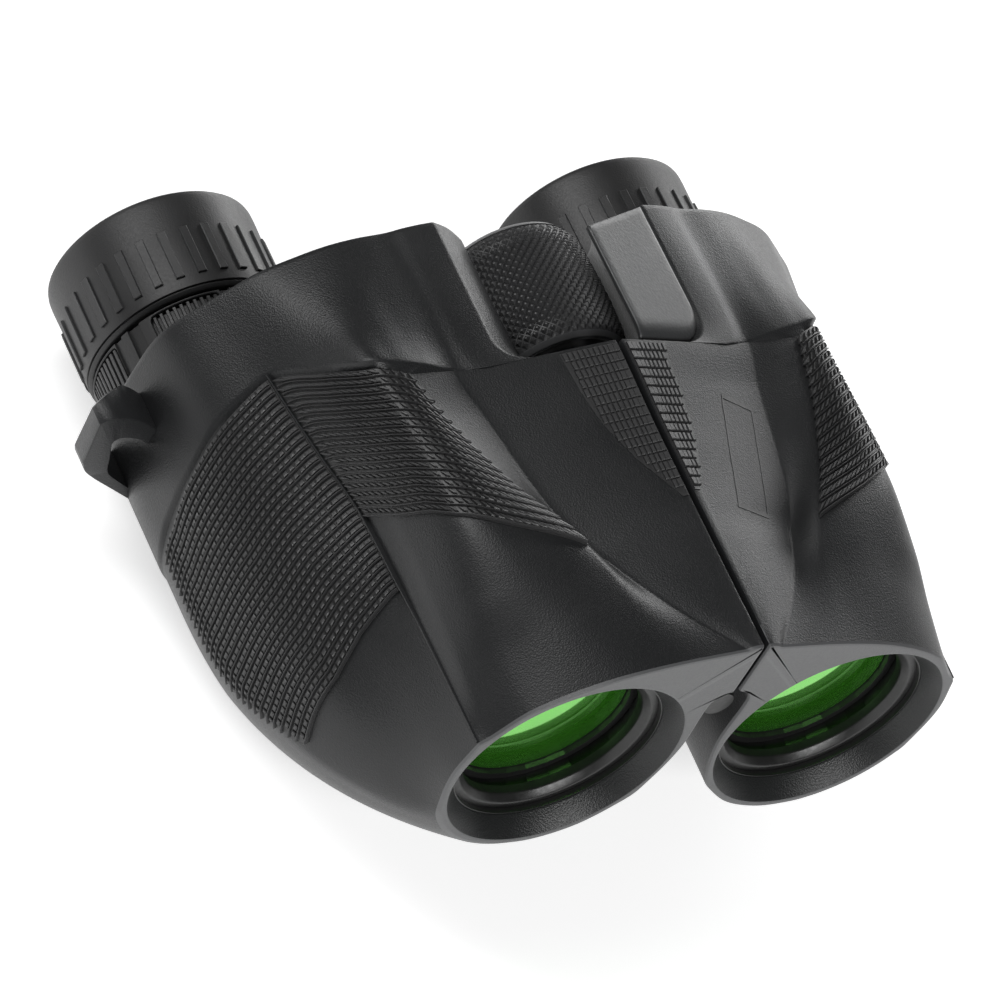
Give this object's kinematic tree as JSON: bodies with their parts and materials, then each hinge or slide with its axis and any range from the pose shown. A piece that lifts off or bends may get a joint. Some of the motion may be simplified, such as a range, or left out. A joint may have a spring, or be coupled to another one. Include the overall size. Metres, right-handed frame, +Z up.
{
  "type": "binoculars",
  "caption": "Compact folding roof-hinged reverse-Porro binoculars with central focus wheel, dioptre ring, twist-up eyecups, textured grips and a strap lug.",
  "frame": {"origin": "on the surface the binoculars rest on, under the middle of their outer box", "axes": "+Z up, -Y the way the objectives look, +Y towards the eyes, +X the user's left half"},
  "size_m": [0.1164, 0.1014, 0.0574],
  "materials": {
    "housing": "fine leather-grained black plastic",
    "grip": "matte black rubber with raised pads",
    "wheel": "matte black rubber with a diamond knurl",
    "rubber": "smooth matte black rubber with raised ribs",
    "satin": "smooth satin charcoal plastic",
    "inner_black": "black anodised look, semi-matte",
    "lens_green": "green-coated objective glass",
    "lens_clear": "coated optical glass",
    "steel": "turned or stamped steel"
  },
  "bodies": {
    "left_half": {"left_housing": "housing", "left_rear_plate": "housing", "left_plate_screw": "steel", "left_upper_grip": "grip", "left_side_grip": "grip", "left_centre_grip": "grip", "left_objective_ring": "inner_black", "left_objective_tube": "inner_black", "left_objective_prism": "lens_clear", "left_eyepiece_prism": "lens_clear", "left_prism_shelf": "inner_black", "left_prism_clip": "steel", "left_eyepiece_tube": "inner_black", "left_front_knuckle": "steel", "left_rear_knuckle": "steel", "left_ocular_cell": "inner_black", "left_field_lens": "lens_clear", "left_eye_lens": "lens_clear", "left_base_ring": "rubber", "hinge_axle": "steel", "hinge_cap": "inner_black", "wheel_bushing": "steel", "cover_plate": "satin"},
    "right_half": {"right_housing": "housing", "right_rear_plate": "housing", "right_plate_screw": "steel", "right_upper_grip": "grip", "right_side_grip": "grip", "right_centre_grip": "grip", "right_objective_ring": "inner_black", "right_objective_tube": "inner_black", "right_objective_prism": "lens_clear", "right_eyepiece_prism": "lens_clear", "right_prism_shelf": "inner_black", "right_prism_clip": "steel", "right_eyepiece_tube": "inner_black", "right_front_knuckle": "steel", "right_rear_knuckle": "steel", "right_strap_lug": "housing"},
    "focus_wheel": {"focus_hub": "wheel", "focus_wheel_grip": "wheel", "focus_screw": "steel"},
    "focus_carriage": {"focus_disc": "steel", "left_objective_cell": "inner_black", "left_objective_lens": "lens_green", "left_focus_arm": "steel"},
    "right_objective": {"right_objective_cell": "inner_black", "right_objective_lens": "lens_green", "right_focus_arm": "steel"},
    "diopter": {"diopter_ring": "rubber"},
    "right_ocular": {"right_ocular_cell": "inner_black", "right_field_lens": "lens_clear", "right_eye_lens": "lens_clear"},
    "left_eyecup_slider": {"left_eyecup_guide": "inner_black"},
    "left_eyecup": {"left_eyecup": "rubber"},
    "right_eyecup_slider": {"right_eyecup_guide": "inner_black"},
    "right_eyecup": {"right_eyecup": "rubber"}
  },
  "joints": [
    {"name": "fold_hinge", "type": "hinge", "parent": "left_half", "child": "right_half", "pos_m": [0.00454, -0.0307, 0.0406], "axis": [0, 1, 0], "range_deg": [-28, 0]},
    {"name": "focus_wheel_turn", "type": "hinge", "parent": "left_half", "child": "focus_wheel", "pos_m": [0.00454, 0.0158, 0.0406], "axis": [0, 1, 0], "range_deg": [-200, 200]},
    {"name": "focus_carriage_slide", "type": "slide", "parent": "left_half", "child": "focus_carriage", "axis": [0, 1, 0], "range_m": [-0.0015, 0.0015]},
    {"name": "right_objective_slide", "type": "slide", "parent": "right_half", "child": "right_objective", "axis": [0, 1, 0], "range_m": [-0.0015, 0.0015]},
    {"name": "diopter_turn", "type": "hinge", "parent": "right_half", "child": "diopter", "pos_m": [-0.03196, 0.0293, 0.0161], "axis": [0, 1, 0], "range_deg": [-50, 50]},
    {"name": "right_ocular_slide", "type": "slide", "parent": "right_half", "child": "right_ocular", "axis": [0, 1, 0], "range_m": [-0.0012, 0.0012]},
    {"name": "left_eyecup_slide", "type": "slide", "parent": "left_half", "child": "left_eyecup_slider", "axis": [0, 1, 0], "range_m": [0, 0.006]},
    {"name": "left_eyecup_twist", "type": "hinge", "parent": "left_eyecup_slider", "child": "left_eyecup", "pos_m": [0.04104, 0.0423, 0.0161], "axis": [0, 1, 0], "range_deg": [0, 120.5]},
    {"name": "right_eyecup_slide", "type": "slide", "parent": "right_half", "child": "right_eyecup_slider", "axis": [0, 1, 0], "range_m": [0, 0.006]},
    {"name": "right_eyecup_twist", "type": "hinge", "parent": "right_eyecup_slider", "child": "right_eyecup", "pos_m": [-0.03196, 0.0423, 0.0161], "axis": [0, 1, 0], "range_deg": [0, 120.5]}
  ],
  "couplings": [
    {"joint": "focus_wheel_turn", "follows": "focus_carriage_slide", "rad_per_m": 2327.1},
    {"joint": "right_objective_slide", "follows": "focus_carriage_slide", "ratio": 1},
    {"joint": "diopter_turn", "follows": "right_ocular_slide", "rad_per_m": 727.2},
    {"joint": "left_eyecup_twist", "follows": "left_eyecup_slide", "rad_per_m": 349.07},
    {"joint": "right_eyecup_twist", "follows": "right_eyecup_slide", "rad_per_m": 349.07}
  ]
}
